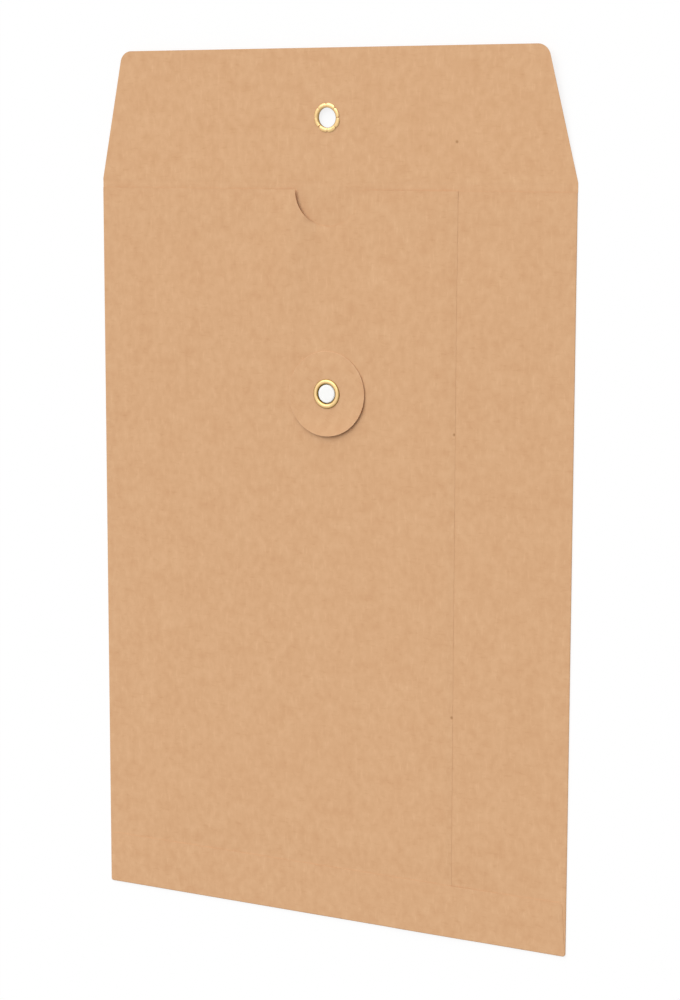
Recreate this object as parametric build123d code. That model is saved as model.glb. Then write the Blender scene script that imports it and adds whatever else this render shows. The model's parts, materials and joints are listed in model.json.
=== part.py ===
from build123d import *
import math
import os

# A string tie envelope: a flat kraft paper pocket with an open top flap, and two paper
# washers that turn on brass eyelets. It lies on its front panel with the back upwards
# and the flap towards +Y. Millimetres, +Z up. The origin is the centre of the front
# panel's outer face.

# Paper and glue
SHEET_THICKNESS = 0.18
GLUE_THICKNESS = 0.03
GLUE_MARGIN = 2.0  # bare paper round each glue film

# Pocket, of the closed format C5
BODY_WIDTH = 162.0
BODY_HEIGHT = 229.0
POCKET_ROOM = 0.1  # left free under the covered eyelet in the empty pocket
THROAT_LIP = 0.8  # front panel that shows above the back panels' top edge
NOTCH_RADIUS = 11.0  # thumb notch in the back's top edge
SEAM_OFFSET = 43.3  # from the centre line to the back seam
SEAM_LAP = 15.0  # right back panel that lies under the left one
CLIMB_RUN = 12.0  # length in which a sheet climbs onto another
CLIMB_CLEARANCE = 0.2  # from the covered edge to the climb
BOTTOM_FLAP_HEIGHT = 16.5
BOTTOM_FLAP_TAPER = 1.0
BOTTOM_FLAP_CORNER = 1.0

# Top flap
FLAP_HEIGHT = 40.4
FLAP_SIDE_INSET = 9.0
FLAP_CORNER = 4.0
CREASE_WIDTH = 2.0
CLOSED_CLEARANCE = 0.1  # between the closed flap and the back
TABLE_CLEARANCE = 0.03  # under the flap's washer while the envelope lies open

# Washers
WASHER_DIAMETER = 26.0
WASHER_THICKNESS = 0.3
WASHER_CLEARANCE = 0.05  # radial, round the eyelet's barrel
WASHER_PLAY = 0.03  # axial, on each side
FLAP_EYELET_RISE = 19.7  # from the crease
BACK_EYELET_DROP = 63.5  # from the crease

# Eyelets and the paper patch that covers the clinched end inside the pocket
EYELET_BORE = 6.0
EYELET_WALL = 0.25
EYELET_CLEARANCE = 0.05  # radial, in the punched hole
FLANGE_WIDTH = 1.25  # beyond the barrel
FLANGE_HEIGHT = 0.42
CLINCH_WIDTH = 1.2  # beyond the barrel
CLINCH_HEIGHT = 0.35
ROLL_RADIUS = 0.3  # rounded edges of the flange and the clinched end
ROLL_SHARE = 0.9  # the most of a flange's height that its rounding takes
PETAL_COUNT = 8
PETAL_GAP = 0.4
PATCH_THICKNESS = 0.1
PATCH_MARGIN = 0.3  # flat middle beyond the clinched end
PATCH_SLOPE = 1.5
PATCH_RIM = 2.0
DOME_HEIGHT = 0.8  # by which the patch is pressed up into the bore
DOME_SLOPE = 0.8
DOME_CLEARANCE = 0.2  # radial, inside the bore

# Heights of the layers
pocket_gap = CLINCH_HEIGHT + PATCH_THICKNESS + POCKET_ROOM
back_low = SHEET_THICKNESS + pocket_gap
back_top = back_low + SHEET_THICKNESS
lap_low = back_top + GLUE_THICKNESS
lap_top = lap_low + SHEET_THICKNESS
covered_lap_low = lap_top + GLUE_THICKNESS
side_fold_radius = back_top / 2
bottom_fold_radius = lap_top / 2

# Places in plan
half_width = BODY_WIDTH / 2
panel_edge_x = half_width - side_fold_radius
panel_bottom_y = bottom_fold_radius - BODY_HEIGHT / 2
bottom_flap_top_y = BOTTOM_FLAP_HEIGHT - BODY_HEIGHT / 2
crease_y = BODY_HEIGHT / 2
front_top_y = crease_y - CREASE_WIDTH / 2
flap_root_y = crease_y + CREASE_WIDTH / 2
flap_top_y = crease_y + FLAP_HEIGHT
throat_y = front_top_y - THROAT_LIP
lap_edge_x = SEAM_OFFSET - SEAM_LAP
climb_end_x = lap_edge_x - CLIMB_CLEARANCE
climb_start_x = climb_end_x - CLIMB_RUN
descent_start_x = SEAM_OFFSET + CLIMB_CLEARANCE
descent_end_x = descent_start_x + CLIMB_RUN
flap_eyelet_y = crease_y + FLAP_EYELET_RISE
back_eyelet_y = crease_y - BACK_EYELET_DROP

# Radii and heights of an eyelet, above the sheet's face that carries the washer
bore_radius = EYELET_BORE / 2
barrel_radius = bore_radius + EYELET_WALL
hole_radius = barrel_radius + EYELET_CLEARANCE
flange_radius = barrel_radius + FLANGE_WIDTH
clinch_radius = barrel_radius + CLINCH_WIDTH
washer_radius = WASHER_DIAMETER / 2
washer_top = WASHER_PLAY + WASHER_THICKNESS
flange_low = washer_top + WASHER_PLAY
flange_top = flange_low + FLANGE_HEIGHT
clinch_low = -SHEET_THICKNESS - CLINCH_HEIGHT

# The flap turns about an axis halfway between its lying and its closed height
closed_flap_low = max(lap_top, back_top + CLINCH_HEIGHT) + CLOSED_CLEARANCE
hinge_z = (SHEET_THICKNESS + closed_flap_low) / 2


def lifting_angle(distance, depth):
    """Degrees that lift a point, distance from the crease and depth under the flap, off the table."""
    radius = math.hypot(distance, hinge_z + depth)
    start = math.atan2(hinge_z + depth, distance)
    return math.degrees(start + math.asin((TABLE_CLEARANCE - hinge_z) / radius))


# The open flap leans on its washer or on its eyelet, whichever lifts it more
flap_rest_angle = max(
    lifting_angle(FLAP_EYELET_RISE - washer_radius, washer_top),
    lifting_angle(FLAP_EYELET_RISE - flange_radius, flange_top),
)
hinge_axis = Axis((0, crease_y, hinge_z), (1, 0, 0))


def polygon(points):
    return make_face(Polyline(*points, close=True))


def sheet_plate(outline, low):
    """A flat piece of the sheet with its lower face at the height low."""
    return extrude(Pos(0, 0, low) * outline, SHEET_THICKNESS, dir=(0, 0, 1))


def across(section, start_x, end_x):
    """A section drawn in Y and Z, drawn out along X."""
    return Pos(start_x, 0, 0) * extrude(Plane.YZ * section, end_x - start_x, dir=(1, 0, 0))


def along(section, start_y, end_y):
    """A section drawn in X and Z, drawn out along Y."""
    return Pos(0, start_y, 0) * extrude(Plane.XZ * section, end_y - start_y, dir=(0, 1, 0))


def block(start, end):
    """A box between two opposite corners."""
    size = [high - low for low, high in zip(start, end)]
    return Pos(*start) * Box(*size, align=Align.MIN)


def half_ring(radius, side):
    """A fold's section: the half of a ring, one sheet thick, that lies on one side, -1 or 1."""
    ring = Circle(radius) - Circle(radius - SHEET_THICKNESS)
    return ring & (Pos(side * radius / 2, 0) * Rectangle(radius, 2 * radius))


def sheet_section(lower_line):
    """One sheet's thickness above a line of points in X and Z."""
    upper_line = [(x, z + SHEET_THICKNESS) for x, z in reversed(lower_line)]
    return polygon(lower_line + upper_line)


def punched_hole(y):
    """The tool that punches an eyelet's hole through every layer at y."""
    return Pos(0, y, 0) * Cylinder(hole_radius, 2 * (lap_top + SHEET_THICKNESS))


def opened(shape):
    """A piece of the flap, turned from the front panel's plane to where the open flap rests."""
    return shape.rotate(hinge_axis, flap_rest_angle)


# Pocket
def front_panel():
    outline = polygon([
        (-panel_edge_x, panel_bottom_y),
        (panel_edge_x, panel_bottom_y),
        (panel_edge_x, throat_y),
        (half_width, throat_y),
        (half_width, front_top_y),
        (-half_width, front_top_y),
        (-half_width, throat_y),
        (-panel_edge_x, throat_y),
    ])
    return sheet_plate(outline, 0)


def side_fold(side):
    section = Pos(side * panel_edge_x, side_fold_radius) * half_ring(side_fold_radius, side)
    return along(section, panel_bottom_y, throat_y)


def left_back_panel():
    section = sheet_section([
        (-panel_edge_x, back_low),
        (climb_start_x, back_low),
        (climb_end_x, lap_low),
        (SEAM_OFFSET, lap_low),
    ])
    notch = Pos(0, throat_y, 0) * Cylinder(NOTCH_RADIUS, 2 * (lap_top + SHEET_THICKNESS))
    return along(section, panel_bottom_y, throat_y) - notch - punched_hole(back_eyelet_y)


def right_back_panel():
    return block((lap_edge_x, panel_bottom_y, back_low), (panel_edge_x, throat_y, back_top))


def seam_glue():
    return block(
        (lap_edge_x + GLUE_MARGIN, panel_bottom_y + GLUE_MARGIN, back_top),
        (SEAM_OFFSET - GLUE_MARGIN, throat_y - GLUE_MARGIN, lap_low),
    )


def bottom_fold():
    section = Pos(panel_bottom_y, bottom_fold_radius) * half_ring(bottom_fold_radius, -1)
    return across(section, -panel_edge_x, panel_edge_x)


def bottom_flap():
    section = sheet_section([
        (-panel_edge_x, lap_low),
        (climb_start_x, lap_low),
        (climb_end_x, covered_lap_low),
        (descent_start_x, covered_lap_low),
        (descent_end_x, lap_low),
        (panel_edge_x, lap_low),
    ])
    top_edge_x = panel_edge_x - BOTTOM_FLAP_TAPER
    outline = polygon([
        (-panel_edge_x, panel_bottom_y),
        (panel_edge_x, panel_bottom_y),
        (top_edge_x, bottom_flap_top_y),
        (-top_edge_x, bottom_flap_top_y),
    ])
    outline = fillet(outline.vertices().sort_by(Axis.Y)[-2:], BOTTOM_FLAP_CORNER)
    cutter = extrude(outline, covered_lap_low + 2 * SHEET_THICKNESS, dir=(0, 0, 1))
    return along(section, panel_bottom_y, bottom_flap_top_y) & cutter


def bottom_glue():
    """Three glue films, beside the lap and on it."""
    outer_x = panel_edge_x - BOTTOM_FLAP_TAPER - GLUE_MARGIN
    low_y = panel_bottom_y + GLUE_MARGIN
    high_y = bottom_flap_top_y - GLUE_MARGIN
    films = [
        (-outer_x, climb_start_x - GLUE_MARGIN, back_top),
        (lap_edge_x + GLUE_MARGIN, SEAM_OFFSET - GLUE_MARGIN, lap_top),
        (descent_end_x + GLUE_MARGIN, outer_x, back_top),
    ]
    return Compound(children=[
        block((start_x, low_y, low), (end_x, high_y, low + GLUE_THICKNESS))
        for start_x, end_x, low in films
    ])


# Top flap
def top_flap():
    top_edge_x = half_width - FLAP_SIDE_INSET
    outline = polygon([
        (-half_width, flap_root_y),
        (half_width, flap_root_y),
        (top_edge_x, flap_top_y),
        (-top_edge_x, flap_top_y),
    ])
    outline = fillet(outline.vertices().sort_by(Axis.Y)[-2:], FLAP_CORNER)
    return opened(sheet_plate(outline, 0) - punched_hole(flap_eyelet_y))


def top_crease():
    """The bent strip between the front panel's top edge and the open flap's root."""
    root = [
        opened(Vertex(0, flap_root_y, height)).center()
        for height in (0, SHEET_THICKNESS)
    ]
    section = polygon([
        (front_top_y, 0),
        (root[0].Y, root[0].Z),
        (root[1].Y, root[1].Z),
        (front_top_y, SHEET_THICKNESS),
    ])
    return across(section, -half_width, half_width)


# Washers, eyelets and the inner patch, each drawn about the Z axis on a sheet's face at
# height 0, with the washer above the sheet and the clinched end below it
def washer():
    ring = Circle(washer_radius) - Circle(barrel_radius + WASHER_CLEARANCE)
    return extrude(Pos(0, 0, WASHER_PLAY) * ring, WASHER_THICKNESS, dir=(0, 0, 1))


def petal_slots():
    """The splits between the petals of the clinched end."""
    slot = Pos(barrel_radius, 0, clinch_low) * Box(
        2 * CLINCH_WIDTH, PETAL_GAP, CLINCH_HEIGHT, align=(Align.MIN, Align.CENTER, Align.MIN)
    )
    return [Rot(0, 0, 360 / PETAL_COUNT * index) * slot for index in range(PETAL_COUNT)]


def eyelet():
    section = polygon([
        (bore_radius, clinch_low),
        (clinch_radius, clinch_low),
        (clinch_radius, -SHEET_THICKNESS),
        (barrel_radius, -SHEET_THICKNESS),
        (barrel_radius, flange_low),
        (flange_radius, flange_low),
        (flange_radius, flange_top),
        (bore_radius, flange_top),
    ])
    corners = section.vertices().sort_by(Axis.Y)
    rims = corners[:2] + corners[-2:]
    roll = min(ROLL_RADIUS, ROLL_SHARE * FLANGE_HEIGHT, ROLL_SHARE * CLINCH_HEIGHT)
    return revolve(Plane.XZ * fillet(rims, roll), Axis.Z) - petal_slots()


def cover_patch():
    dome_radius = bore_radius - DOME_CLEARANCE
    flat_radius = clinch_radius + PATCH_MARGIN
    rim_radius = flat_radius + PATCH_SLOPE
    patch_radius = rim_radius + PATCH_RIM
    upper_line = [
        (0, clinch_low + DOME_HEIGHT),
        (dome_radius - DOME_SLOPE, clinch_low + DOME_HEIGHT),
        (dome_radius, clinch_low),
        (flat_radius, clinch_low),
        (rim_radius, -SHEET_THICKNESS),
        (patch_radius, -SHEET_THICKNESS),
    ]
    lower_line = [(radius, height - PATCH_THICKNESS) for radius, height in reversed(upper_line)]
    return revolve(Plane.XZ * polygon(upper_line + lower_line), Axis.Z)


def on_back(shape):
    return Pos(0, back_eyelet_y, back_top) * shape


def on_flap(shape):
    """A piece on the flap's outer face, which looks down while the flap is open."""
    return opened(Pos(0, flap_eyelet_y, 0) * Rot(180, 0, 0) * shape)


pieces = {
    "front_panel": front_panel(),
    "left_fold": side_fold(-1),
    "right_fold": side_fold(1),
    "left_back_panel": left_back_panel(),
    "right_back_panel": right_back_panel(),
    "seam_glue": seam_glue(),
    "bottom_fold": bottom_fold(),
    "bottom_flap": bottom_flap(),
    "bottom_glue": bottom_glue(),
    "top_crease": top_crease(),
    "top_flap": top_flap(),
    "back_washer": on_back(washer()),
    "back_eyelet": on_back(eyelet()),
    "back_eyelet_patch": on_back(cover_patch()),
    "flap_washer": on_flap(washer()),
    "flap_eyelet": on_flap(eyelet()),
}

os.makedirs("parts", exist_ok=True)
for name, piece in pieces.items():
    export_step(piece, f"parts/{name}.step")

flap_bore_middle = on_flap(Vertex(0, 0, (flange_top + clinch_low) / 2)).center()
flap_bore_end = on_flap(Vertex(0, 0, clinch_low)).center()
flap_bore_axis = (flap_bore_end - flap_bore_middle).normalized()
bore_wall = flange_top - clinch_low - 2 * ROLL_RADIUS
print(f"crease axis at y {crease_y:.3f}, z {hinge_z:.4f}; open flap lifted {flap_rest_angle:.4f} degrees")
print(f"back eyelet axis at y {back_eyelet_y:.3f}; throat at y {throat_y:.3f}")
print(f"flap bore: middle {flap_bore_middle}, axis {flap_bore_axis}, wall {bore_wall:.3f}")
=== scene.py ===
"""A kraft string tie envelope on a white table, its back up and its flap open. Sizes are in metres."""

import json
import math
import random

import bmesh
import bpy
import numpy as np
from mathutils import Matrix, Vector, geometry, noise


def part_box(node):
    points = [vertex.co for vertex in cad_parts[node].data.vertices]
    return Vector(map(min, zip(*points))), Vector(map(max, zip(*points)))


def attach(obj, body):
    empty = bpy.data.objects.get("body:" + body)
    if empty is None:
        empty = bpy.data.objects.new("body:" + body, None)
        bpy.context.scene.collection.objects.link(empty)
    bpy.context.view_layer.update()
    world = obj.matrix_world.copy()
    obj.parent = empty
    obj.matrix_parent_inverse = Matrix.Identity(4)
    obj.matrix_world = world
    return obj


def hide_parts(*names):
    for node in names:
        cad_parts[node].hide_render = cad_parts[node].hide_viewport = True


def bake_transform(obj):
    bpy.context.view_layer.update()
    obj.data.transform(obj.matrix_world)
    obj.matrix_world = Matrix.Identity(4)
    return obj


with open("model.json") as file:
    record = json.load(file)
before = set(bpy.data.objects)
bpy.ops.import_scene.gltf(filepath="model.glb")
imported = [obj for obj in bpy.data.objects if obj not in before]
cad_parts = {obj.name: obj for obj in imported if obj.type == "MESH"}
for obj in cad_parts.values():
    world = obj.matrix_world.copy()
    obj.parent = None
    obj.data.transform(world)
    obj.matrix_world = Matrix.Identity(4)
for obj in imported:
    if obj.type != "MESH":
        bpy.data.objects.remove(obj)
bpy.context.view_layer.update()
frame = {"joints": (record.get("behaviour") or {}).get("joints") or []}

MM = 0.001

# Driving sizes of the blank that the frame's boxes don't hold
NOTCH_RADIUS = 11 * MM
CLIMB_RUN = 12 * MM  # in which a sheet climbs onto the edge under it
CLIMB_CLEARANCE = 0.2 * MM
BOTTOM_FLAP_TAPER = 1 * MM
BOTTOM_FLAP_CORNER = 1 * MM
FLAP_HEIGHT = 40.4 * MM
FLAP_SIDE_INSET = 9 * MM
FLAP_CORNER = 4 * MM
FLAP_EYELET_RISE = 19.7 * MM
GLUE_MARGIN = 2 * MM

# How its edges and corners are pressed and worn
LAP_PRESS = 0.15 * MM  # by which the seam's edge is pressed thinner
LAP_PRESS_RUN = 2 * MM
EDGE_PRESS = 0.1 * MM  # by which other cut edges are pressed thinner
EDGE_PRESS_RUN = 0.5 * MM  # in from the bottom flap's sides
TOP_PRESS_RUN = 5 * MM  # in from the throat, the notch and the bottom flap's top edge
EDGE_SINK = 0.02 * MM  # by which the bottom flap's sides are pressed down beyond their glue
NOTCH_SINK = 0.09 * MM  # by which the notch's edge is pressed down, other than at its left lip
CORNER_BULGE = 0.2 * MM  # how far the folds' ends stand out round a bottom corner
CORNER_BLUNT = 1 * MM  # rounding of the two bottom corners, which handling wears off

# The empty pocket, pressed thin at its edges
PRESSED_GAP = 0.12 * MM
SWELL_RUN = 32 * MM  # in which it swells to its room round the eyelet
MOUTH_START = -20 * MM  # where the mouth begins to open, towards the notch's left lip
MOUTH_RUN = 8 * MM
MOUTH_END = -8.5 * MM  # where it begins to close again
MOUTH_FALL = 5 * MM
LIP_LIFT = 0.36 * MM  # by which that lip stands higher still

# How far the paper is from flat
WAVE_HEIGHT = 0.05 * MM
WAVE_LENGTH = 38 * MM
WAVE_CALM = 20 * MM  # run in which the waves die out at folds and round the washer

# Driving sizes of the eyelets and washers
BORE_RADIUS = 3.0 * MM
EYELET_WALL = 0.25 * MM
PUNCH_CLEARANCE = 0.05 * MM
FLANGE_LIP = 0.04 * MM  # straight edge under the flange's round top
PATCH_FILM = 0.1 * MM
PATCH_DOME = 1.05 * MM  # by which the patch is pressed up into the bore
DOME_POWER = 28  # of the dome's section: the higher, the flatter its top
PATCH_SLOPE = 1.5 * MM
PATCH_RIM = 2 * MM
WASHER_EDGE = 0.05 * MM  # rounding of the die cut edge
WASHER_HIGHLIGHT_RING = 0.14 * MM  # width of a pale ring painted at the edge, a painted highlight
BACK_WASHER_LIFT = 0.82 * MM  # by which a loose disc's rim stands off the paper at its highest
FLAP_WASHER_LIFT = 0.45 * MM
WASHER_HIGH = math.radians(-95)  # direction of that place from the middle
RIM_PRESS = 0.6  # share by which the rim is pressed thinner on the other side
RIM_RUN = 5 * MM
BACK_GRAIN_TURN = math.radians(25)  # of a disc's grain against the envelope's
FLAP_GRAIN_TURN = math.radians(-40)

# The curled petals of an eyelet's clinched end
PETALS = 8
PETAL_REACH = 4.45 * MM
PETAL_CURL = 0.86 * math.pi
PETAL_SWAY = 2  # most that a petal is turned out of its place, in degrees
PETAL_SHORTEST = 0.96  # share of the reach
PETAL_CROWN = 0.16  # share by which the tip falls off to its sides
CROWN_POWER = 4
SLIT_WIDTH = 0.24 * MM
SLIT_ROOT = 0.1  # share of that width at the bore
SLIT_POWER = 1.3
TIP_START = 0.72  # share of the petal's length at which it begins to narrow
TIP_NARROWING = 0.3
BACK_PETAL_SEED = 3
FLAP_PETAL_SEED = 8

# Fineness of the meshes
GRID_STEP = 5 * MM
FOLD_ROWS = 16
CLIMB_ROWS = 8
SEAM_ROWS = 4
BLUNT_ROWS = 8
CREASE_ROWS = 24
CORNER_STEPS = 10
NOTCH_STEPS = 64
HOLE_STEPS = 72
RING_STEPS = 128
FLANGE_STEPS = 20
WASHER_STEP = 1 * MM
PATCH_ROWS = 12
PATCH_ROW_POWER = 3  # by which these rows crowd at the dome's foot
PETAL_ROWS = 14
PETAL_COLUMNS = 10
NEAR = 0.02 * MM  # points of a loop closer than this are one point
WELD = 0.001 * MM
EDGE_GAP = 0.08 * MM  # grid points keep this far from a cut edge
SHARP_ANGLE = math.radians(38)
ENCLOSED = 1  # kind of triangulation, which leaves out what no loop encloses
SAME_POINT = 1e-5  # its least distance between points, in millimetres

# Material slots of a sheet
OUTER_FACE = 0
CUT_FACE = 1
INNER_FACE = 2

# Sizes and places read from the frame
front_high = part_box("front_panel")[1]
left_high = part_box("left_back_panel")[1]
right_low, right_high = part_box("right_back_panel")
washer_low, washer_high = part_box("back_washer")
eyelet_low, eyelet_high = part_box("back_eyelet")
joints = {joint["name"]: joint for joint in frame["joints"]}
hinge = Vector(joints["flap_fold"]["pos_m"])
rest_angle = -math.radians(joints["flap_fold"]["range_deg"][0])  # above the front panel's plane
back_eyelet_y = joints["back_disc_turn"]["pos_m"][1]

sheet = front_high.z
half_width = front_high.x
throat_y = left_high.y
front_top_y = front_high.y
flap_root_y = 2 * hinge.y - front_top_y
flap_top_y = hinge.y + FLAP_HEIGHT
flap_eyelet_y = hinge.y + FLAP_EYELET_RISE
back_top = right_high.z
pressed_top = 2 * sheet + PRESSED_GAP
lap_rise = left_high.z - back_top
glue_film = lap_rise - sheet
seam_x = left_high.x
climb_end_x = right_low.x - CLIMB_CLEARANCE
climb_start_x = climb_end_x - CLIMB_RUN
descent_start_x = seam_x + CLIMB_CLEARANCE
descent_end_x = descent_start_x + CLIMB_RUN
bottom_flap_top_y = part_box("bottom_flap")[1].y
side_fold_radius = pressed_top / 2
bottom_fold_radius = (pressed_top + lap_rise) / 2
side_fold_run = math.pi * (side_fold_radius - sheet / 2)
bottom_fold_run = math.pi * (bottom_fold_radius - sheet / 2)
panel_edge_x = half_width - side_fold_radius
bottom_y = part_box("bottom_fold")[0].y
panel_bottom_y = bottom_y + bottom_fold_radius

# Radii and heights of an eyelet and its washer, above the sheet's face that carries the washer
washer_radius = washer_high.x
washer_bottom = washer_low.z - back_top
washer_top = washer_high.z - back_top
flange_radius = eyelet_high.x
flange_bottom = washer_top + washer_bottom  # with the same gap over the washer as under it
flange_top = eyelet_high.z - back_top
clinch_bottom = eyelet_low.z - back_top
barrel_radius = BORE_RADIUS + EYELET_WALL
hole_radius = barrel_radius + PUNCH_CLEARANCE


def ease(share):
    """A smooth step from 0 to 1 as share goes from 0 to 1."""
    share = min(max(share, 0.0), 1.0)
    return share * share * (3 - 2 * share)


def spaced(start, end, step):
    """Even values from start to end, both included, about step apart."""
    count = max(1, round(abs(end - start) / step))
    return [start + (end - start) * index / count for index in range(count + 1)]


def graded(start, *stretches):
    """Values over stretches that follow one another, each with its own end and step."""
    values = [start]
    for end, step in stretches:
        values += spaced(start, end, step)[1:]
        start = end
    return values


def left_blank_x(x):
    """Where a place across the left back panel lies on the flat blank."""
    return -2 * panel_edge_x - side_fold_run - x


# Loops of points on the flat blank
def arc(centre, radius, start, end, steps):
    """Points on an arc between two angles in degrees, both ends included."""
    points = []
    for index in range(steps + 1):
        angle = math.radians(start + (end - start) * index / steps)
        points.append(Vector(centre) + radius * Vector((math.cos(angle), math.sin(angle))))
    return points


def circle(centre, radius):
    return arc(centre, radius, 0, 360, HOLE_STEPS)[:-1]


def corner(before, point, after, radius):
    """Points of a rounded corner between two straight edges."""
    point = Vector(point)
    back = (Vector(before) - point).normalized()
    ahead = (Vector(after) - point).normalized()
    half = back.angle(ahead) / 2
    centre = point + (back + ahead).normalized() * radius / math.sin(half)
    start = point + back * radius / math.tan(half) - centre
    end = point + ahead * radius / math.tan(half) - centre
    shares = [index / CORNER_STEPS for index in range(CORNER_STEPS + 1)]
    return [centre + start.lerp(end, share).normalized() * radius for share in shares]


def bulged_end(start, end, direction):
    """Points along the end of a folded strip, standing out most where the fold is outermost."""
    start, end = Vector(start), Vector(end)
    points = []
    for index in range(FOLD_ROWS + 1):
        share = index / FOLD_ROWS
        bulge = CORNER_BULGE * math.sin(math.pi * share)
        points.append(start.lerp(end, share) + bulge * Vector(direction))
    return points


def crossed(loop, lines):
    """The loop with a point added wherever an edge of it crosses a grid line."""
    points = []
    for start, end in zip(loop, loop[1:] + loop[:1]):
        shares = {0.0}
        for axis in (0, 1):
            run = end[axis] - start[axis]
            if abs(run) > NEAR:
                shares.update((line - start[axis]) / run for line in lines[axis])
        for share in sorted(share for share in shares if 0 <= share < 1):
            point = start.lerp(end, share)
            if not points or (point - points[-1]).length > NEAR:
                points.append(point)
    if (points[-1] - points[0]).length < NEAR:
        points.pop()
    return points


def inside(spots, starts, ends):
    """Whether each spot is inside the loops' edges, by the number of edges to its right."""
    x, y = spots[:, :1], spots[:, 1:]
    over = (starts[:, 1] > y) != (ends[:, 1] > y)
    rise = ends[:, 1] - starts[:, 1]
    rise = np.where(rise == 0, 1.0, rise)
    at = starts[:, 0] + (y - starts[:, 1]) * (ends[:, 0] - starts[:, 0]) / rise
    return (over & (x < at)).sum(1) % 2 == 1


def edge_gap(spots, starts, ends):
    """Distance of each spot from the nearest edge."""
    run = ends - starts
    share = ((spots[:, None] - starts) * run).sum(2) / (run * run).sum(1)
    nearest = starts + run * np.clip(share, 0, 1)[:, :, None]
    return np.linalg.norm(spots[:, None] - nearest, axis=2).min(1)


def triangulated(outlines, holes, lines):
    """Places and triangles that fill the outlines but not the holes, on a grid of lines."""
    points, edges = [], []
    for loop in [crossed(outline, lines) for outline in outlines] + holes:
        first = len(points)
        edges += [(first + index, first + (index + 1) % len(loop)) for index in range(len(loop))]
        points += loop
    starts = np.array([points[a] for a, b in edges])
    ends = np.array([points[b] for a, b in edges])
    grid = np.array([(x, y) for x in lines[0] for y in lines[1]])
    grid = grid[inside(grid, starts, ends) & (edge_gap(grid, starts, ends) > EDGE_GAP)]
    points += [Vector(spot) for spot in grid]
    flat = [point / MM for point in points]
    found = geometry.delaunay_2d_cdt(flat, edges, [], ENCLOSED, SAME_POINT)
    places = [point * MM for point in found[0]]
    triangles = np.array(found[2])
    middles = np.array(places)[triangles].mean(1)
    first_hole = len(edges) - sum(len(hole) for hole in holes)
    in_hole = inside(middles, starts[first_hole:], ends[first_hole:])
    return places, triangles[~in_hole].tolist()


# Meshes
def new_object(name, data):
    """An object in the scene."""
    piece = bpy.data.objects.new(name, data)
    bpy.context.scene.collection.objects.link(piece)
    return piece


def finished(name, mesh, materials):
    """A smooth shaded object with its outside facing out and its sharp edges marked."""
    surface = bmesh.new()
    surface.from_mesh(mesh)
    bmesh.ops.recalc_face_normals(surface, faces=surface.faces)
    surface.to_mesh(mesh)
    surface.free()
    mesh.shade_smooth()
    mesh.set_sharp_from_angle(angle=SHARP_ANGLE)
    for material in materials:
        mesh.materials.append(material)
    return new_object(name, mesh)


def set_blank_map(mesh, places):
    """Stores a flat place for each corner: on the paper's blank, or in the brass's section."""
    layer = mesh.uv_layers.new(name="blank")
    values = [value for loop in mesh.loops for value in places[loop.vertex_index]]
    layer.data.foreach_set("uv", values)


def blunted(spot):
    """The place in space, drawn in where it lies in a bottom corner."""
    side = math.copysign(1, spot.x)
    out = max(0.0, 1 - (half_width - abs(spot.x)) / CORNER_BLUNT)
    down = max(0.0, 1 - (spot.y - bottom_y) / CORNER_BLUNT)
    inward = CORNER_BLUNT * out * (1 - math.sqrt(1 - down * down / 2))
    upward = CORNER_BLUNT * down * (1 - math.sqrt(1 - out * out / 2))
    return Vector((spot.x - side * inward, spot.y + upward, spot.z))


def corner_rows(edge, direction):
    """Values from an edge inwards, fine enough for a blunted corner."""
    return spaced(edge, edge + direction * CORNER_BLUNT, CORNER_BLUNT / BLUNT_ROWS)[1:]


def thin_sheet(name, outlines, holes, lines, fold, thickness, materials):
    """A closed thin sheet: the blank inside the outlines, with its holes, folded point by point.

    fold gives the place in space of a point of the blank at a depth below the sheet's outer face.
    The materials are those of the outer face, the cut edge and the inner face.
    """
    places, triangles = triangulated(outlines, holes, lines)
    sides = [side for triangle in triangles for side in zip(triangle, triangle[1:] + triangle[:1])]
    known_sides = set(sides)
    rim = [side for side in sides if side[::-1] not in known_sides]
    count = len(places)
    vertices = [blunted(fold(x, y, depth)) for depth in (0, thickness) for x, y in places]
    faces = [*triangles]
    faces += [[index + count for index in reversed(triangle)] for triangle in triangles]
    faces += [[b, a, a + count, b + count] for a, b in rim]
    mesh = bpy.data.meshes.new(name)
    mesh.from_pydata(vertices, [], faces)
    slots = [OUTER_FACE] * len(triangles) + [INNER_FACE] * len(triangles) + [CUT_FACE] * len(rim)
    mesh.polygons.foreach_set("material_index", slots)
    set_blank_map(mesh, places + places)
    return finished(name, mesh, materials)


def paper_sheet(name, outline, holes, lines, fold):
    papers = [kraft, kraft_edge, kraft_inside]
    return thin_sheet(name, [outline], holes, lines, fold, sheet, papers)


def add_quads(surface, first, second):
    """Adds the faces between two rows of points."""
    for quad in zip(first, first[1:], second[1:], second):
        surface.faces.new(quad)


def lathe(surface, profile, steps):
    """Adds a ring whose section is the closed profile of radii and heights."""
    rings = []
    for index in range(steps):
        angle = 2 * math.pi * index / steps
        across, along = math.cos(angle), math.sin(angle)
        rings.append([surface.verts.new((r * across, r * along, z)) for r, z in profile])
    for ring, after in zip(rings, rings[1:] + rings[:1]):
        add_quads(surface, ring + ring[:1], after + after[:1])


def placed_mesh(name, surface, place):
    """The surface as a mesh, moved to its place."""
    surface.transform(place)
    mesh = bpy.data.meshes.new(name)
    surface.to_mesh(mesh)
    surface.free()
    return mesh


# Colours
KRAFT = (0.674, 0.395, 0.212)
CUT_EDGE = (0.71, 0.43, 0.243)
MOTTLE = (0.058, 0.057, 0.041)  # from the mean to the lightest tone
MARK = (0.28, 0.114, 0.024)
BRASS = (0.80, 0.55, 0.262)
# tarnish and painted shade: the dark brass in the bore and at the flange's outer edge, where shade
# falls
TARNISH_AND_SHADE = (0.24, 0.14, 0.025)
PATCH_DARK = (0.93, 0.93, 0.91)
PATCH_LIGHT = (0.97, 0.97, 0.95)
GLUE_DARK = (0.66, 0.54, 0.34)
GLUE_LIGHT = (0.78, 0.67, 0.47)
WHITE = (1.0, 1.0, 1.0)

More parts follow.
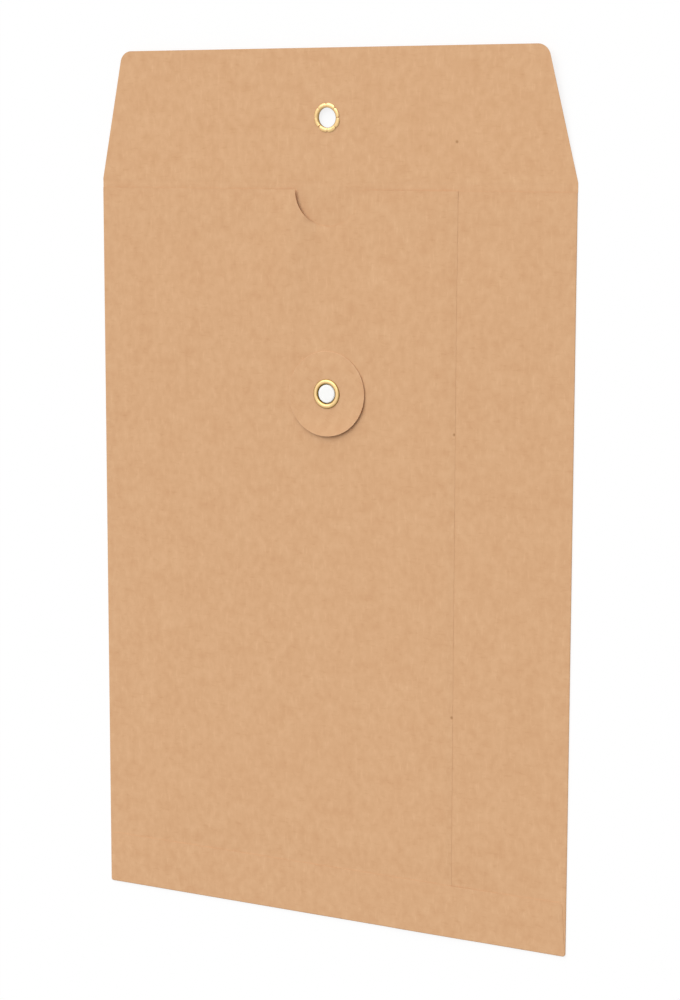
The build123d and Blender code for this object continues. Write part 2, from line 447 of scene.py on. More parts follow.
# Noises, whose scales are per millimetre
PER_MM = (1 / MM, 1 / MM, 1 / MM)
NOISE_MEAN = 0.5
NOISE_SPAN = (0.3, 0.7)  # between which most of a noise lies

# Looks of the paper
PULP_SCALE = 0.46
PULP_STRETCH = (0.9, 0.72, 1.0)
PULP_SHARE = 1.1  # of the tone
CLOUD_SCALE = 0.11
CLOUD_SHARE = 0.5
FIBRE_SCALE = 1.0
LIGHT_FIBRE_STRETCH = (1.4, 0.25, 1.0)  # so that they run up the envelope
LIGHT_FIBRE_BEND = 0.4
DARK_FIBRE_STRETCH = (0.35, 1.5, 1.0)  # so that they run across it
DARK_FIBRE_BEND = 0.6
FIBRE_LEVELS = (0.60, 0.74)  # of the noise, between which a fibre fades in
FIBRE_SHARE = 0.22
FIBRE_RELIEF = 0.5  # beside the grain's 1
GRAIN_SCALE = 5.0
PAPER_ROUGHNESS = (0.78, 0.92)
PAPER_SPECULAR = 0.25
PAPER_BUMP = 0.2
PAPER_RELIEF = 0.03 * MM
EDGE_CONTRAST = 1.6  # of a cut edge's mottle, beside the faces' 1
# painted light: share by which the flap's inner face is lightened beyond the crease, against the shade
# of its lift
FLAP_PAINTED_LIGHT = 0.045

# Three dark marks in line with the seam's edge, such as a feed wheel leaves
MARK_INSET = 0.3 * MM
MARK_PITCH = 86.2 * MM
MARK_Y = 40.9 * MM  # of the middle one
MARK_CORE = 0.17 * MM
MARK_RIM = 0.62 * MM
MARK_SHARE = 0.6

# Looks of the brass
BRASS_CLOUD_SCALE = 0.7
BRASS_CLOUD_SHARE = 0.3
DRAWING_SCALE = 4.0
DRAWING_STRETCH = (1.0, 1.0, 6.0)
# spans of the brass's tarnish and painted shade
BORE_TARNISH_AND_SHADE = (0.1 * MM, 0.5 * MM)  # distances from the bore between which it fades out
RIM_TARNISH_AND_SHADE = 0.5 * MM  # distance from the flange's edge in which it fades in
CLINCH_TARNISH_AND_SHADE = 0.5  # share of it on the clinched end
BRASS_ROUGHNESS = (0.3, 0.42)
BRASS_BUMP = 0.1
BRASS_RELIEF = 0.02 * MM

# Looks of the white patch and the dried glue
PLAIN_CLOUD_SCALE = 0.9
PLAIN_GRAIN_SCALE = 6.0
PLAIN_BUMP = 0.15
PLAIN_RELIEF = 0.03 * MM
PATCH_ROUGHNESS = 0.8
GLUE_ROUGHNESS = 0.4
ROUGHNESS_SPREAD = 0.06


# Materials
def set_inputs(tree, node, inputs):
    """Sets a node's inputs to values or links them to other nodes."""
    for name, value in inputs.items():
        if isinstance(value, bpy.types.NodeSocket):
            tree.links.new(value, node.inputs[name])
        else:
            node.inputs[name].default_value = value


def add(tree, kind, inputs=None, **settings):
    """A new node with its settings and inputs."""
    node = tree.nodes.new(kind)
    for name, value in settings.items():
        setattr(node, name, value)
    set_inputs(tree, node, inputs or {})
    return node


def math_node(tree, operation, *values):
    return add(tree, "ShaderNodeMath", dict(enumerate(values)), operation=operation).outputs[0]


def vector_node(tree, operation, inputs):
    return add(tree, "ShaderNodeVectorMath", inputs, operation=operation)


def scaled(tree, vector, factors):
    return vector_node(tree, "MULTIPLY", {0: vector, 1: factors}).outputs[0]


def noise_node(tree, vector, scale, detail=2.0, roughness=0.5, distortion=0.0):
    inputs = {
        "Vector": vector,
        "Scale": scale,
        "Detail": detail,
        "Roughness": roughness,
        "Distortion": distortion,
    }
    return add(tree, "ShaderNodeTexNoise", inputs).outputs[0]


def map_range(tree, value, span, results=(0.0, 1.0)):
    """A number that goes from the first result to the second as the value goes over its span."""
    inputs = {0: value, 1: span[0], 2: span[1], 3: results[0], 4: results[1]}
    return add(tree, "ShaderNodeMapRange", inputs).outputs[0]


def fibres(tree, place, stretch, bend):
    """Fibres that run the way of the smaller stretch: 1 in their middle and 0 beside them."""
    level = noise_node(tree, scaled(tree, place, stretch), FIBRE_SCALE, detail=1.0, distortion=bend)
    return map_range(tree, level, FIBRE_LEVELS)


def mixed(tree, share, first, second):
    """A colour between two others, by a share from 0 to 1."""
    inputs = {0: share, 6: first, 7: second}  # 6, 7 and output 2 are the node's colours
    return add(tree, "ShaderNodeMix", inputs, data_type="RGBA").outputs[2]


def bumped(tree, height, strength, distance):
    inputs = {"Height": height, "Strength": strength, "Distance": distance}
    return add(tree, "ShaderNodeBump", inputs).outputs[0]


def blank_place(tree):
    """The flat place that the mesh stores, in metres."""
    return add(tree, "ShaderNodeUVMap", uv_map="blank").outputs[0]


def object_place(tree):
    """The place on the object, in millimetres."""
    return scaled(tree, add(tree, "ShaderNodeTexCoord").outputs["Object"], PER_MM)


def empty_tree(owner):
    """The owner's node tree, emptied."""
    owner.use_nodes = True
    owner.node_tree.nodes.clear()
    return owner.node_tree


def new_material(name):
    """A material with an empty tree but for its shader and output."""
    material = bpy.data.materials.new(name)
    tree = empty_tree(material)
    shader = add(tree, "ShaderNodeBsdfPrincipled")
    add(tree, "ShaderNodeOutputMaterial", {"Surface": shader.outputs[0]})
    return material, tree, shader


def opaque(colour):
    return (*colour, 1.0)


def toned(colour, factor):
    """The colour, lighter or darker by a factor times the mottle."""
    return opaque([channel + factor * tone for channel, tone in zip(colour, MOTTLE)])


def paper_material(name, colour, contrast=1.0, painted_light=0.0, marks=()):
    """Kraft paper: mottled pulp, light and dark fibres and some marks, on the blank's flat places.

    Beyond the flap's crease the paper is painted lighter by the share given, a painted light that
    makes up for the shade on the lifted flap.
    """
    material, tree, shader = new_material(name)
    blank = blank_place(tree)
    place = scaled(tree, blank, PER_MM)
    pulp = noise_node(tree, scaled(tree, place, PULP_STRETCH), PULP_SCALE, detail=3.0)
    cloud = noise_node(tree, place, CLOUD_SCALE)
    light_fibres = fibres(tree, place, LIGHT_FIBRE_STRETCH, LIGHT_FIBRE_BEND)
    dark_fibres = fibres(tree, place, DARK_FIBRE_STRETCH, DARK_FIBRE_BEND)

    tone = NOISE_MEAN * (1 - PULP_SHARE - CLOUD_SHARE)  # so that the mean tone of both is one half
    for part, share in (
        (pulp, PULP_SHARE),
        (cloud, CLOUD_SHARE),
        (light_fibres, FIBRE_SHARE),
        (dark_fibres, -FIBRE_SHARE),
    ):
        tone = math_node(tree, "MULTIPLY_ADD", part, share, tone)
    base = mixed(tree, tone, toned(colour, -contrast), toned(colour, contrast))
    # painted light: lighter from the crease up the flap, to offset the shade of the lifted flap
    if painted_light:
        up = add(tree, "ShaderNodeSeparateXYZ", {0: blank}).outputs[1]
        gain = map_range(tree, up, (front_top_y, flap_root_y), (1.0, 1 + painted_light))
        base = vector_node(tree, "SCALE", {0: base, "Scale": gain}).outputs[0]
    for mark in marks:
        gap = vector_node(tree, "DISTANCE", {0: blank, 1: (*mark, 0)}).outputs["Value"]
        share = map_range(tree, gap, (MARK_CORE, MARK_RIM), (MARK_SHARE, 0.0))
        base = mixed(tree, share, base, opaque(MARK))

    grain = noise_node(tree, place, GRAIN_SCALE, detail=3.0, roughness=0.6)
    height = math_node(tree, "MULTIPLY_ADD", light_fibres, FIBRE_RELIEF, grain)
    set_inputs(tree, shader, {
        "Base Color": base,
        "Roughness": map_range(tree, pulp, NOISE_SPAN, PAPER_ROUGHNESS),
        "Specular IOR Level": PAPER_SPECULAR,
        "Normal": bumped(tree, height, PAPER_BUMP, PAPER_RELIEF),
    })
    return material


def brass_material():
    """Bright thin brass with fine drawing marks, darker in its bore and at its outer edge: tarnish
    with painted shade.
    """
    material, tree, shader = new_material("eyelet_brass")
    place = object_place(tree)
    cloud = noise_node(tree, place, BRASS_CLOUD_SCALE, detail=3.0, roughness=0.6)
    stretched = scaled(tree, place, DRAWING_STRETCH)
    drawing = noise_node(tree, stretched, DRAWING_SCALE, detail=3.0, roughness=0.6)
    section = add(tree, "ShaderNodeSeparateXYZ", {0: blank_place(tree)})
    radius, height = section.outputs[0], section.outputs[1]

    # tarnish and painted shade: darker into the bore and towards the flange's edge, less on the
    # clinched end
    bore_span = [BORE_RADIUS + distance for distance in BORE_TARNISH_AND_SHADE]
    in_bore = map_range(tree, radius, bore_span, (1.0, 0.0))
    at_rim = map_range(tree, radius, (flange_radius - RIM_TARNISH_AND_SHADE, flange_radius))
    tarnish_and_shade = math_node(tree, "MAXIMUM", in_bore, at_rim)
    by_height = map_range(tree, height, (-sheet, 0.0), (CLINCH_TARNISH_AND_SHADE, 1.0))
    tarnish_and_shade = math_node(tree, "MULTIPLY", tarnish_and_shade, by_height)
    bright = math_node(tree, "SUBTRACT", 1.0, tarnish_and_shade)
    clear = math_node(tree, "SUBTRACT", NOISE_MEAN, cloud)
    bright = math_node(tree, "MULTIPLY_ADD", clear, BRASS_CLOUD_SHARE, bright)
    set_inputs(tree, shader, {
        "Base Color": mixed(tree, bright, opaque(TARNISH_AND_SHADE), opaque(BRASS)),
        "Metallic": 1.0,
        "Roughness": map_range(tree, drawing, NOISE_SPAN, BRASS_ROUGHNESS),
        "Normal": bumped(tree, drawing, BRASS_BUMP, BRASS_RELIEF),
    })
    return material


def plain_material(name, dark, light, roughness):
    """A softly clouded surface for the white patch and the dried glue."""
    material, tree, shader = new_material(name)
    place = object_place(tree)
    cloud = noise_node(tree, place, PLAIN_CLOUD_SCALE, detail=4.0, roughness=0.6)
    grain = noise_node(tree, place, PLAIN_GRAIN_SCALE)
    roughnesses = (roughness - ROUGHNESS_SPREAD, roughness + ROUGHNESS_SPREAD)
    set_inputs(tree, shader, {
        "Base Color": mixed(tree, cloud, opaque(dark), opaque(light)),
        "Roughness": map_range(tree, cloud, NOISE_SPAN, roughnesses),
        "Normal": bumped(tree, grain, PLAIN_BUMP, PLAIN_RELIEF),
    })
    return material


mark_x = seam_x - MARK_INSET
back_marks = [(left_blank_x(mark_x), MARK_Y - MARK_PITCH), (left_blank_x(mark_x), MARK_Y)]
flap_marks = [(mark_x, MARK_Y + MARK_PITCH)]
kraft = paper_material("kraft_paper", KRAFT, marks=back_marks)
kraft_edge = paper_material("kraft_cut_edge", CUT_EDGE, EDGE_CONTRAST)
# the inner faces, painted lighter beyond the flap's crease
kraft_inside = paper_material("kraft_inside", KRAFT, painted_light=FLAP_PAINTED_LIGHT, marks=flap_marks)
washer_kraft = paper_material("washer_paper", KRAFT)
brass = brass_material()
patch_white = plain_material("patch_paper", PATCH_DARK, PATCH_LIGHT, PATCH_ROUGHNESS)
glue = plain_material("dried_glue", GLUE_DARK, GLUE_LIGHT, GLUE_ROUGHNESS)


# The folded paper
def unevenness(x, y):
    """Height of the back's slight waves, which die out at the folds and round the washer."""
    reach = math.hypot(x, y - back_eyelet_y) - washer_radius
    calm = ease((panel_edge_x - abs(x)) / WAVE_CALM)
    calm *= ease((y - panel_bottom_y) / WAVE_CALM)
    calm *= ease(reach / WAVE_CALM)
    return WAVE_HEIGHT * calm * noise.noise(Vector((x, y, 0)) / WAVE_LENGTH)


def mouth_share(x):
    """How far the mouth stands open, from 0 to 1."""
    return ease((x - MOUTH_START) / MOUTH_RUN) * (1 - ease((x - MOUTH_END) / MOUTH_FALL))


def back_height(x, y):
    """Height of the back's outer face: pressed down at the edges, with room round the eyelet."""
    mouth = mouth_share(x)
    below_notch = ease((throat_y - NOTCH_RADIUS - y) / SWELL_RUN)
    lip = LIP_LIFT * mouth * (1 - below_notch)
    room = ease((panel_edge_x - abs(x)) / SWELL_RUN) * ease((y - panel_bottom_y) / SWELL_RUN)
    room *= mouth + (1 - mouth) * below_notch
    return pressed_top + (back_top - pressed_top) * room + lip + unevenness(x, y)


def climb(x):
    """Share of the climb onto the right panel's edge."""
    return ease((x - climb_start_x) / CLIMB_RUN)


def fold_front(x, y, depth):
    """The front panel lies on the table, and the flap beyond its crease is lifted."""
    turn = rest_angle * ease((y - front_top_y) / (flap_root_y - front_top_y))
    along, up = y - hinge.y, depth - hinge.z
    return Vector((
        x,
        hinge.y + along * math.cos(turn) - up * math.sin(turn),
        hinge.z + along * math.sin(turn) + up * math.cos(turn),
    ))


def fold_side(run, y, depth, side):
    """A place at a distance run round a side fold and on along the back."""
    radius = side_fold_radius - depth
    if run < side_fold_run:
        angle = math.pi * run / side_fold_run
        out = panel_edge_x + radius * math.sin(angle)
        return Vector((side * out, y, side_fold_radius - radius * math.cos(angle)))
    x = side * (panel_edge_x - (run - side_fold_run))
    up = back_height(x, y) - depth
    thinned = EDGE_PRESS * (1 - ease((throat_y - y) / TOP_PRESS_RUN))
    if side < 0:
        notch_gap = math.hypot(x, y - throat_y) - NOTCH_RADIUS
        notch_edge = (1 - ease(notch_gap / TOP_PRESS_RUN)) * (1 - mouth_share(x))
        up += lap_rise * climb(x) - NOTCH_SINK * notch_edge
        lap_edge = 1 - ease((seam_x - x) / LAP_PRESS_RUN)
        thinned = max(thinned, EDGE_PRESS * notch_edge, LAP_PRESS * lap_edge)
    return Vector((x, y, up - thinned * (1 - depth / sheet)))


def fold_left(x, y, depth):
    return fold_side(-panel_edge_x - x, y, depth, -1)


def fold_right(x, y, depth):
    return fold_side(x - panel_edge_x, y, depth, 1)


def fold_bottom(x, y, depth):
    """The bottom flap turns up round the bottom fold and steps over the lapped seam."""
    run = panel_bottom_y - y
    rise = lap_rise * climb(x) * (1 - ease((x - descent_start_x) / CLIMB_RUN))
    radius = bottom_fold_radius - depth
    if run < bottom_fold_run:
        angle = math.pi * run / bottom_fold_run
        up = bottom_fold_radius - radius * math.cos(angle) + rise * (1 - math.cos(angle)) / 2
        return Vector((x, panel_bottom_y - radius * math.sin(angle), up))
    y = panel_bottom_y + run - bottom_fold_run
    share = (y - panel_bottom_y) / (bottom_flap_top_y - panel_bottom_y)
    side_x = panel_edge_x - BOTTOM_FLAP_TAPER * share
    edge = 1 - ease((side_x - abs(x)) / EDGE_PRESS_RUN)
    edge *= ease((y - panel_bottom_y) / CORNER_BLUNT)
    top = 1 - ease((bottom_flap_top_y - y) / TOP_PRESS_RUN)
    pressed = edge * EDGE_SINK + max(edge, top) * EDGE_PRESS * (1 - depth / sheet)
    up = back_height(x, y) + lap_rise + rise - depth - pressed
    return Vector((x, y, up))


def fold_seam_glue(x, y, depth):
    return Vector((x, y, back_height(x, y) + glue_film - depth))


def fold_bottom_glue(x, y, depth):
    on_lap = lap_rise if climb_end_x < x < descent_start_x else 0
    return Vector((x, y, back_height(x, y) + on_lap + glue_film - depth))


def front_sheet():
    """The front panel, the crease and the flap, one stretch of paper."""
    top_x = half_width - FLAP_SIDE_INSET
    right_root, left_root = (half_width, flap_root_y), (-half_width, flap_root_y)
    right_top, left_top = (top_x, flap_top_y), (-top_x, flap_top_y)
    outline = [
        Vector((-panel_edge_x, panel_bottom_y)),
        Vector((panel_edge_x, panel_bottom_y)),
        Vector((panel_edge_x, throat_y)),
        Vector((half_width, throat_y)),
        Vector(right_root),
        *corner(right_root, right_top, left_top, FLAP_CORNER),
        *corner(right_top, left_top, left_root, FLAP_CORNER),
        Vector(left_root),
        Vector((-half_width, throat_y)),
        Vector((-panel_edge_x, throat_y)),
    ]
    across = spaced(-panel_edge_x, panel_edge_x, GRID_STEP)
    across += corner_rows(-panel_edge_x, 1) + corner_rows(panel_edge_x, -1)
    along = spaced(panel_bottom_y, throat_y, GRID_STEP) + corner_rows(panel_bottom_y, 1)
    crease_step = (flap_root_y - front_top_y) / CREASE_ROWS
    along += graded(front_top_y, (flap_root_y, crease_step), (flap_top_y, GRID_STEP))
    hole = circle((0, flap_eyelet_y), hole_radius)
    return paper_sheet("front_sheet", outline, [hole], (across, along), fold_front)


def back_rows():
    """Grid lines up a back panel, closer together at its bottom corner and at the throat."""
    rows = spaced(panel_bottom_y, throat_y, GRID_STEP) + corner_rows(panel_bottom_y, 1)
    return rows + spaced(throat_y - TOP_PRESS_RUN, throat_y, TOP_PRESS_RUN / SEAM_ROWS)[1:-1]


def left_sheet():
    """The left fold and the wide back panel, with the thumb notch and the eyelet's hole."""
    fold_start = -panel_edge_x
    fold_end = fold_start - side_fold_run
    edge_x = left_blank_x(seam_x)
    outline = [
        Vector((fold_start, throat_y)),
        *arc((left_blank_x(0), throat_y), NOTCH_RADIUS, 0, -180, NOTCH_STEPS),
        Vector((edge_x, throat_y)),
        Vector((edge_x, panel_bottom_y)),
        *bulged_end((fold_end, panel_bottom_y), (fold_start, panel_bottom_y), (0, -1)),
    ]
    across = graded(
        fold_start,
        (fold_end, side_fold_run / FOLD_ROWS),
        (left_blank_x(climb_start_x), GRID_STEP),
        (left_blank_x(climb_end_x), CLIMB_RUN / CLIMB_ROWS),
        (left_blank_x(seam_x - LAP_PRESS_RUN), GRID_STEP),
        (edge_x, LAP_PRESS_RUN / SEAM_ROWS),
    )
    across += corner_rows(fold_end, -1)
    hole = circle((left_blank_x(0), back_eyelet_y), hole_radius)
    return paper_sheet("left_back_sheet", outline, [hole], (across, back_rows()), fold_left)


def right_sheet():
    """The right fold and the narrow back panel under the seam."""
    fold_start = panel_edge_x
    fold_end = fold_start + side_fold_run
    edge_x = fold_end + panel_edge_x - right_low.x
    outline = [
        *bulged_end((fold_start, panel_bottom_y), (fold_end, panel_bottom_y), (0, -1)),
        Vector((edge_x, panel_bottom_y)),
        Vector((edge_x, throat_y)),
        Vector((fold_start, throat_y)),
    ]
    across = graded(fold_start, (fold_end, side_fold_run / FOLD_ROWS), (edge_x, GRID_STEP))
    across += corner_rows(fold_end, 1)
    return paper_sheet("right_back_sheet", outline, [], (across, back_rows()), fold_right)


def bottom_sheet():
    """The bottom fold and the flap that closes the bottom."""
    fold_start = panel_bottom_y
    fold_end = fold_start - bottom_fold_run
    edge_y = fold_end - (bottom_flap_top_y - panel_bottom_y)
    press_y = edge_y + TOP_PRESS_RUN
    edge_x = panel_edge_x - BOTTOM_FLAP_TAPER
    root_left, root_right = (-panel_edge_x, fold_end), (panel_edge_x, fold_end)
    far_left, far_right = (-edge_x, edge_y), (edge_x, edge_y)
    outline = [
        *bulged_end((-panel_edge_x, fold_start), root_left, (-1, 0)),
        *corner(root_left, far_left, far_right, BOTTOM_FLAP_CORNER),
        *corner(far_left, far_right, root_right, BOTTOM_FLAP_CORNER),
        *bulged_end(root_right, (panel_edge_x, fold_start), (1, 0)),
    ]
    across = graded(
        -panel_edge_x,
        (climb_start_x, GRID_STEP),
        (climb_end_x, CLIMB_RUN / CLIMB_ROWS),
        (descent_start_x, GRID_STEP),
        (descent_end_x, CLIMB_RUN / CLIMB_ROWS),
        (panel_edge_x, GRID_STEP),
    )
    across += corner_rows(-panel_edge_x, 1) + corner_rows(panel_edge_x, -1)
    along = graded(fold_start, (fold_end, bottom_fold_run / FOLD_ROWS), (press_y, GRID_STEP))
    along += corner_rows(fold_end, -1)
    along += spaced(press_y, edge_y, TOP_PRESS_RUN / SEAM_ROWS)[1:]
    return paper_sheet("bottom_flap_sheet", outline, [], (across, along), fold_bottom)


def glue_films(name, spans, low_y, high_y, fold):
    """Dried glue between two sheets, over each span of x."""
    across = [x for start, end in spans for x in spaced(start, end, GRID_STEP)]
    along = spaced(low_y, high_y, GRID_STEP)
    loops = [
        [Vector(spot) for spot in ((start, low_y), (end, low_y), (end, high_y), (start, high_y))]
        for start, end in spans
    ]
    return thin_sheet(name, loops, [], (across, along), fold, glue_film, [glue, glue, glue])


def seam_glue():
    low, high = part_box("seam_glue")
    return glue_films("seam_glue_film", [(low.x, high.x)], low.y, high.y, fold_seam_glue)


def bottom_glue():
    low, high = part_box("bottom_glue")
    spans = [
        (low.x, climb_start_x - GLUE_MARGIN),
        (right_low.x + GLUE_MARGIN, seam_x - GLUE_MARGIN),
        (descent_end_x + GLUE_MARGIN, high.x),
    ]
    return glue_films("bottom_glue_films", spans, low.y, high.y, fold_bottom_glue)


# Washers and eyelets, drawn about the Z axis on a sheet's outer face at height 0
def on_back():
    """Where a piece of the back's closure goes."""
    return Matrix.Translation((0, back_eyelet_y, back_top))


def on_flap():
    """Where a piece of the flap's closure goes: on the outer face, which looks down."""
    to_hinge = Matrix.Translation(hinge)
    lift = to_hinge @ Matrix.Rotation(rest_angle, 4, "X") @ to_hinge.inverted()
    return lift @ Matrix.Translation((0, flap_eyelet_y, 0)) @ Matrix.Rotation(math.pi, 4, "X")


def washer(name, place, lift, grain_turn):
    """A die cut paper disc, held at its middle, whose rim stands off the paper on one side."""
    highlight_radius = washer_radius - WASHER_HIGHLIGHT_RING
    radii = [*spaced(hole_radius, highlight_radius, WASHER_STEP), washer_radius - WASHER_EDGE]
    lower = [(radius, washer_bottom) for radius in radii]
    rim = [
        (washer_radius, washer_bottom + WASHER_EDGE),
        (washer_radius, washer_top - WASHER_EDGE),
    ]
    upper = [(radius, washer_top) for radius in reversed(radii)]
    surface = bmesh.new()
    lathe(surface, lower + rim + upper, RING_STEPS)
    # faces beyond that radius take the paler cut edge paper: a painted highlight round the rim
    for face in surface.faces:
        middle = face.calc_center_median()
        face.material_index = int(middle.xy.length > highlight_radius)
    turn = Matrix.Rotation(grain_turn, 2)
    places = []
    for vertex in surface.verts:
        flat = vertex.co.xy
        places.append(turn @ flat + place.translation.xy)
        share = max(0.0, (flat.length - flange_radius) / (washer_radius - flange_radius))
        angle = math.atan2(flat.y, flat.x)
        high = (1 + math.cos(angle - WASHER_HIGH)) / 2
        thin = RIM_PRESS * (1 - high) * ease((flat.length - washer_radius + RIM_RUN) / RIM_RUN)
        vertex.co.z += lift * high * share * share - thin * (vertex.co.z - washer_bottom)
    mesh = placed_mesh(name, surface, place)
    set_blank_map(mesh, places)
    return finished(name, mesh, [washer_kraft, kraft_edge])


def flange_profile():
    """Section of the rolled flange and the barrel below it."""
    middle = (flange_radius + BORE_RADIUS) / 2
    half = (flange_radius - BORE_RADIUS) / 2
    base = flange_bottom + FLANGE_LIP
    points = []
    for index in range(FLANGE_STEPS + 1):
        angle = math.pi * index / FLANGE_STEPS
        height = base + (flange_top - base) * math.sin(angle)
        points.append((middle + half * math.cos(angle), height))
    return [
        (flange_radius - FLANGE_LIP, flange_bottom),
        *points,
        (BORE_RADIUS, -sheet),
        (barrel_radius, -sheet),
        (barrel_radius, flange_bottom),
    ]


def petal_layer(surface, middle_angle, reach, inset):
    """Rows of points on one face of a petal, from the bore outwards."""
    half_run = (reach - BORE_RADIUS) / (1 - math.cos(PETAL_CURL))
    rise = -sheet - clinch_bottom
    rows = []
    for row in range(PETAL_ROWS + 1):
        share = row / PETAL_ROWS
        curl = PETAL_CURL * share
        radius = BORE_RADIUS + half_run - (half_run - inset) * math.cos(curl)
        slit = SLIT_WIDTH * (SLIT_ROOT + (1 - SLIT_ROOT) * share ** SLIT_POWER)
        half_angle = math.pi / PETALS - slit / (2 * radius)
        half_angle *= 1 - TIP_NARROWING * ease((share - TIP_START) / (1 - TIP_START))
        points = []
        for column in range(PETAL_COLUMNS + 1):
            offset = 2 * column / PETAL_COLUMNS - 1
            angle = middle_angle + offset * half_angle
            crown = 1 - PETAL_CROWN * share * offset ** CROWN_POWER
            height = -sheet - (rise - inset) * math.sin(curl) * crown
            spot = (radius * math.cos(angle), radius * math.sin(angle), height)
            points.append(surface.verts.new(spot))
        rows.append(points)
    return rows


def petal(surface, middle_angle, reach):
    """Adds one curled petal of the clinched end, a closed thin shell."""
    outer = petal_layer(surface, middle_angle, reach, 0)
    under = petal_layer(surface, middle_angle, reach, EYELET_WALL)
    for rows in (outer, under):
        for row, after in zip(rows, rows[1:]):
            add_quads(surface, row, after)
    for end in (0, -1):
        add_quads(surface, [row[end] for row in outer], [row[end] for row in under])
        add_quads(surface, outer[end], under[end])


def eyelet(name, place, seed):
    """A rolled flange, a barrel and a clinched end of uneven petals."""
    uneven = random.Random(seed)
    surface = bmesh.new()
    lathe(surface, flange_profile(), RING_STEPS)
    for index in range(PETALS):
        sway = math.radians(uneven.uniform(-PETAL_SWAY, PETAL_SWAY))
        angle = 2 * math.pi * (index + 0.5) / PETALS + sway
        petal(surface, angle, PETAL_REACH * uneven.uniform(PETAL_SHORTEST, 1.0))
    places = [(vertex.co.xy.length, vertex.co.z) for vertex in surface.verts]
    mesh = placed_mesh(name, surface, place)
    set_blank_map(mesh, places)
    return finished(name, mesh, [brass])


def patch(name, place):
    """The white paper stuck over the clinched end, domed where it is pressed into the bore."""
    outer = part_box("back_eyelet_patch")[1].x
    rim = outer - PATCH_RIM
    dome = BORE_RADIUS - PUNCH_CLEARANCE / 2
    upper = [(outer, -sheet), (rim, -sheet), (rim - PATCH_SLOPE, clinch_bottom)]
    for index in range(PATCH_ROWS + 1):
        share = 1 - (index / PATCH_ROWS) ** PATCH_ROW_POWER
        upper.append((dome * share, clinch_bottom + PATCH_DOME * (1 - share ** DOME_POWER)))
    under = [(radius, height - PATCH_FILM) for radius, height in reversed(upper)]
    surface = bmesh.new()
    lathe(surface, upper + under, RING_STEPS)
    bmesh.ops.remove_doubles(surface, verts=surface.verts, dist=WELD)
    loose = [edge for edge in surface.edges if not edge.link_faces]
    bmesh.ops.delete(surface, geom=loose, context="EDGES")
    return finished(name, placed_mesh(name, surface, place), [patch_white])


# The pieces, and the bodies and nodes of the frame that they stand for
def stand_for(piece, body, nodes):
    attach(piece, body)
    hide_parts(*nodes)


front = front_sheet()
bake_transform(front)
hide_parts("front_panel", "top_crease", "top_flap")

stand_for(left_sheet(), "pocket", ["left_fold", "left_back_panel"])
stand_for(right_sheet(), "pocket", ["right_fold", "right_back_panel"])
stand_for(bottom_sheet(), "pocket", ["bottom_fold", "bottom_flap"])
stand_for(seam_glue(), "pocket", ["seam_glue"])
stand_for(bottom_glue(), "pocket", ["bottom_glue"])

back_disc = washer("back_washer_disc", on_back(), BACK_WASHER_LIFT, BACK_GRAIN_TURN)
stand_for(back_disc, "back_disc", ["back_washer"])
flap_disc = washer("flap_washer_disc", on_flap(), FLAP_WASHER_LIFT, FLAP_GRAIN_TURN)
stand_for(flap_disc, "flap_disc", ["flap_washer"])

back_ring = eyelet("back_eyelet_ring", on_back(), BACK_PETAL_SEED)
stand_for(back_ring, "pocket", ["back_eyelet"])
flap_ring = eyelet("flap_eyelet_ring", on_flap(), FLAP_PETAL_SEED)
stand_for(flap_ring, "flap", ["flap_eyelet"])

white_patch = patch("back_eyelet_patch_disc", on_back())
stand_for(white_patch, "pocket", ["back_eyelet_patch"])


# Floor, light and camera, with angles in degrees
FLOOR_SIZE = 6.0
FLOOR_GAP = 0.05 * MM
FLOOR_GLOW = 0.8  # share of the floor's white that shadows don't dim
SKY_LEVEL = 0.45
SUN_SHARE = 0.55  # of the light on a level surface
SUN_ELEVATION = 46
SUN_AZIMUTH = 110  # anticlockwise from +X, so it comes over the flap, a little from the left
SUN_SPREAD = 70

CAMERA_PLACE = Vector((0.346709, 0.125908, 0.645222))
CAMERA_TARGET = Vector((0.004062, 0.018427, 0))
CAMERA_ROLL = 0.1185
CAMERA_LENS = 86.7139  # in millimetres
CAMERA_CLIP = 10 * MM


def seen_directly(tree):
    """1 for rays from the camera or by way of metal or glass, and 0 for light on a dull surface."""
    path = add(tree, "ShaderNodeLightPath")
    rays = [path.outputs[f"Is {kind} Ray"] for kind in ("Camera", "Glossy", "Transmission")]
    return math_node(tree, "MAXIMUM", math_node(tree, "MAXIMUM", rays[0], rays[1]), rays[2])


def show_mix(tree, output, share, first, second):
    """Ends the tree with a mix of two shaders."""
    both = add(tree, "ShaderNodeMixShader", {0: share, 1: first.outputs[0], 2: second.outputs[0]})
    add(tree, output, {"Surface": both.outputs[0]})


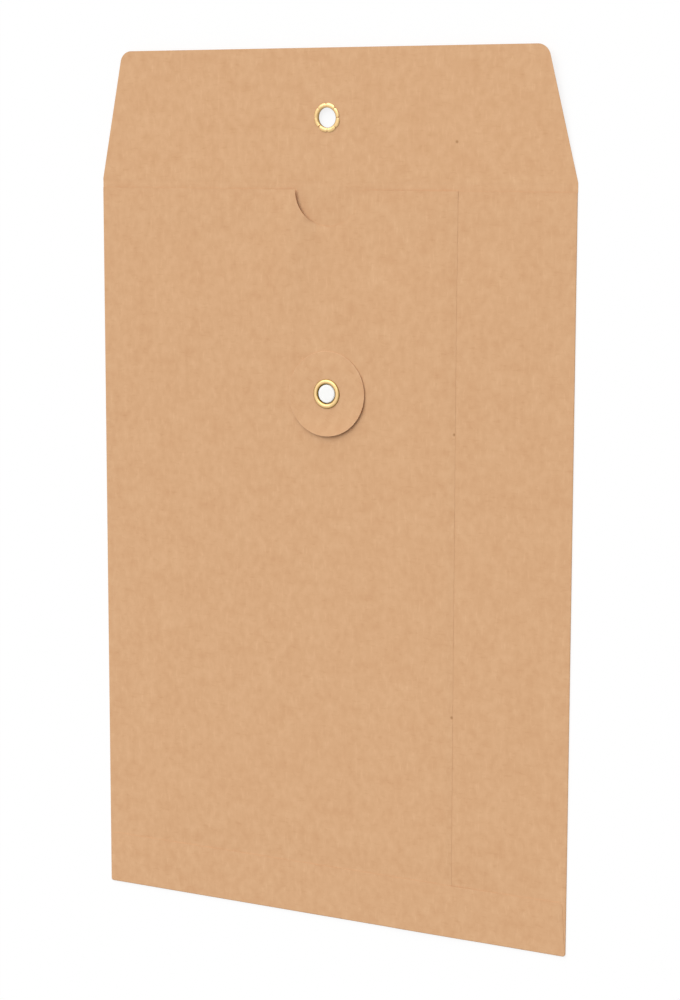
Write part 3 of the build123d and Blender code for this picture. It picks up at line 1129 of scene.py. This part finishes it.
def floor():
    half = FLOOR_SIZE / 2
    mesh = bpy.data.meshes.new("floor")
    corners = [(-half, -half), (half, -half), (half, half), (-half, half)]
    mesh.from_pydata([(x, y, -FLOOR_GAP) for x, y in corners], [], [(0, 1, 2, 3)])
    material = bpy.data.materials.new("floor_white")
    tree = empty_tree(material)
    paint = add(tree, "ShaderNodeBsdfDiffuse", {"Color": opaque(WHITE)})
    glow = add(tree, "ShaderNodeEmission", {"Color": opaque(WHITE), "Strength": 1.0})
    share = math_node(tree, "MULTIPLY", seen_directly(tree), FLOOR_GLOW)
    show_mix(tree, "ShaderNodeOutputMaterial", share, paint, glow)
    mesh.materials.append(material)
    return new_object("floor", mesh)


def sky():
    world = bpy.data.worlds.new("white_studio")
    tree = empty_tree(world)
    fill = add(tree, "ShaderNodeBackground", {"Color": opaque(WHITE), "Strength": SKY_LEVEL})
    white = add(tree, "ShaderNodeBackground", {"Color": opaque(WHITE), "Strength": 1.0})
    show_mix(tree, "ShaderNodeOutputWorld", seen_directly(tree), fill, white)
    bpy.context.scene.world = world


def sun():
    lamp = bpy.data.lights.new("key_light", "SUN")
    lamp.angle = math.radians(SUN_SPREAD)
    elevation, azimuth = math.radians(SUN_ELEVATION), math.radians(SUN_AZIMUTH)
    lamp.energy = SUN_SHARE * math.pi / math.sin(elevation)
    towards = Vector((
        math.cos(elevation) * math.cos(azimuth),
        math.cos(elevation) * math.sin(azimuth),
        math.sin(elevation),
    ))
    turn = towards.to_track_quat("Z", "Y").to_matrix().to_4x4()
    piece = new_object("key_light", lamp)
    piece.matrix_world = Matrix.Translation(towards) @ turn


def camera():
    lens = bpy.data.cameras.new("photo_camera")
    lens.lens = CAMERA_LENS
    lens.clip_start = CAMERA_CLIP
    forward = (CAMERA_TARGET - CAMERA_PLACE).normalized()
    right = forward.cross(Vector((0, 1, 0))).normalized()
    turn = Matrix((right, right.cross(forward), -forward)).transposed().to_4x4()
    roll = Matrix.Rotation(math.radians(CAMERA_ROLL), 4, "Z")
    piece = new_object("photo_camera", lens)
    piece.matrix_world = Matrix.Translation(CAMERA_PLACE) @ turn @ roll
    bpy.context.scene.camera = piece


floor()
sky()
sun()
camera()
bpy.context.scene.view_settings.view_transform = "Standard"
